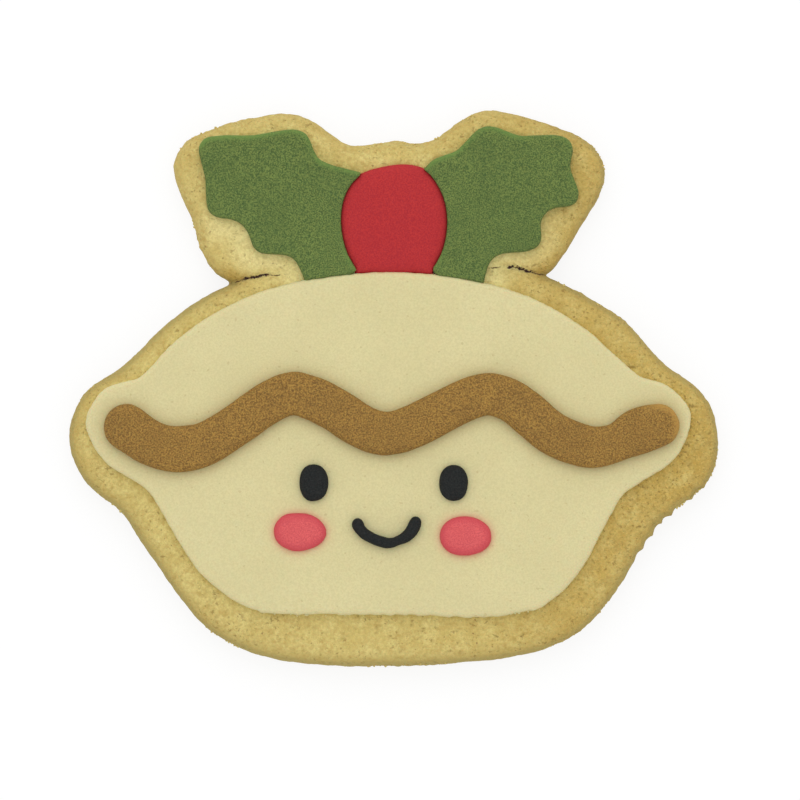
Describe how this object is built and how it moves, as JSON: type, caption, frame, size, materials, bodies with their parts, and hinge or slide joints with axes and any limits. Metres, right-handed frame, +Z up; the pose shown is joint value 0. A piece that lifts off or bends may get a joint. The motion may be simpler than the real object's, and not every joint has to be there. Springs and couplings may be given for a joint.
{
  "type": "iced sugar cookie",
  "caption": "Flat baked biscuit in the outline of a small pie topped with a holly sprig, covered with cut pieces of icing and a smiling face.",
  "frame": {"origin": "middle of the footprint, on the surface that the biscuit lies on", "axes": "+X across the pie, towards the right as one reads the face; +Y from the pie's base towards the holly; +Z up, out of the iced side"},
  "size_m": [0.1, 0.0855, 0.0096],
  "materials": {
    "baked_dough": "matt golden crumb, browner along the edge",
    "cream_icing": "smooth satin rolled icing",
    "green_icing": "matt, finely grained rolled icing",
    "red_icing": "matt rolled icing",
    "brown_icing": "matt, grained rolled icing",
    "black_icing": "matt",
    "pink_icing": "matt"
  },
  "bodies": {
    "root": {"biscuit": "baked_dough", "pie_icing": "cream_icing", "left_leaf": "green_icing", "right_leaf": "green_icing", "berry": "red_icing", "wavy_band": "brown_icing", "left_eye": "black_icing", "right_eye": "black_icing", "left_cheek": "pink_icing", "right_cheek": "pink_icing", "smile": "black_icing"}
  },
  "joints": []
}
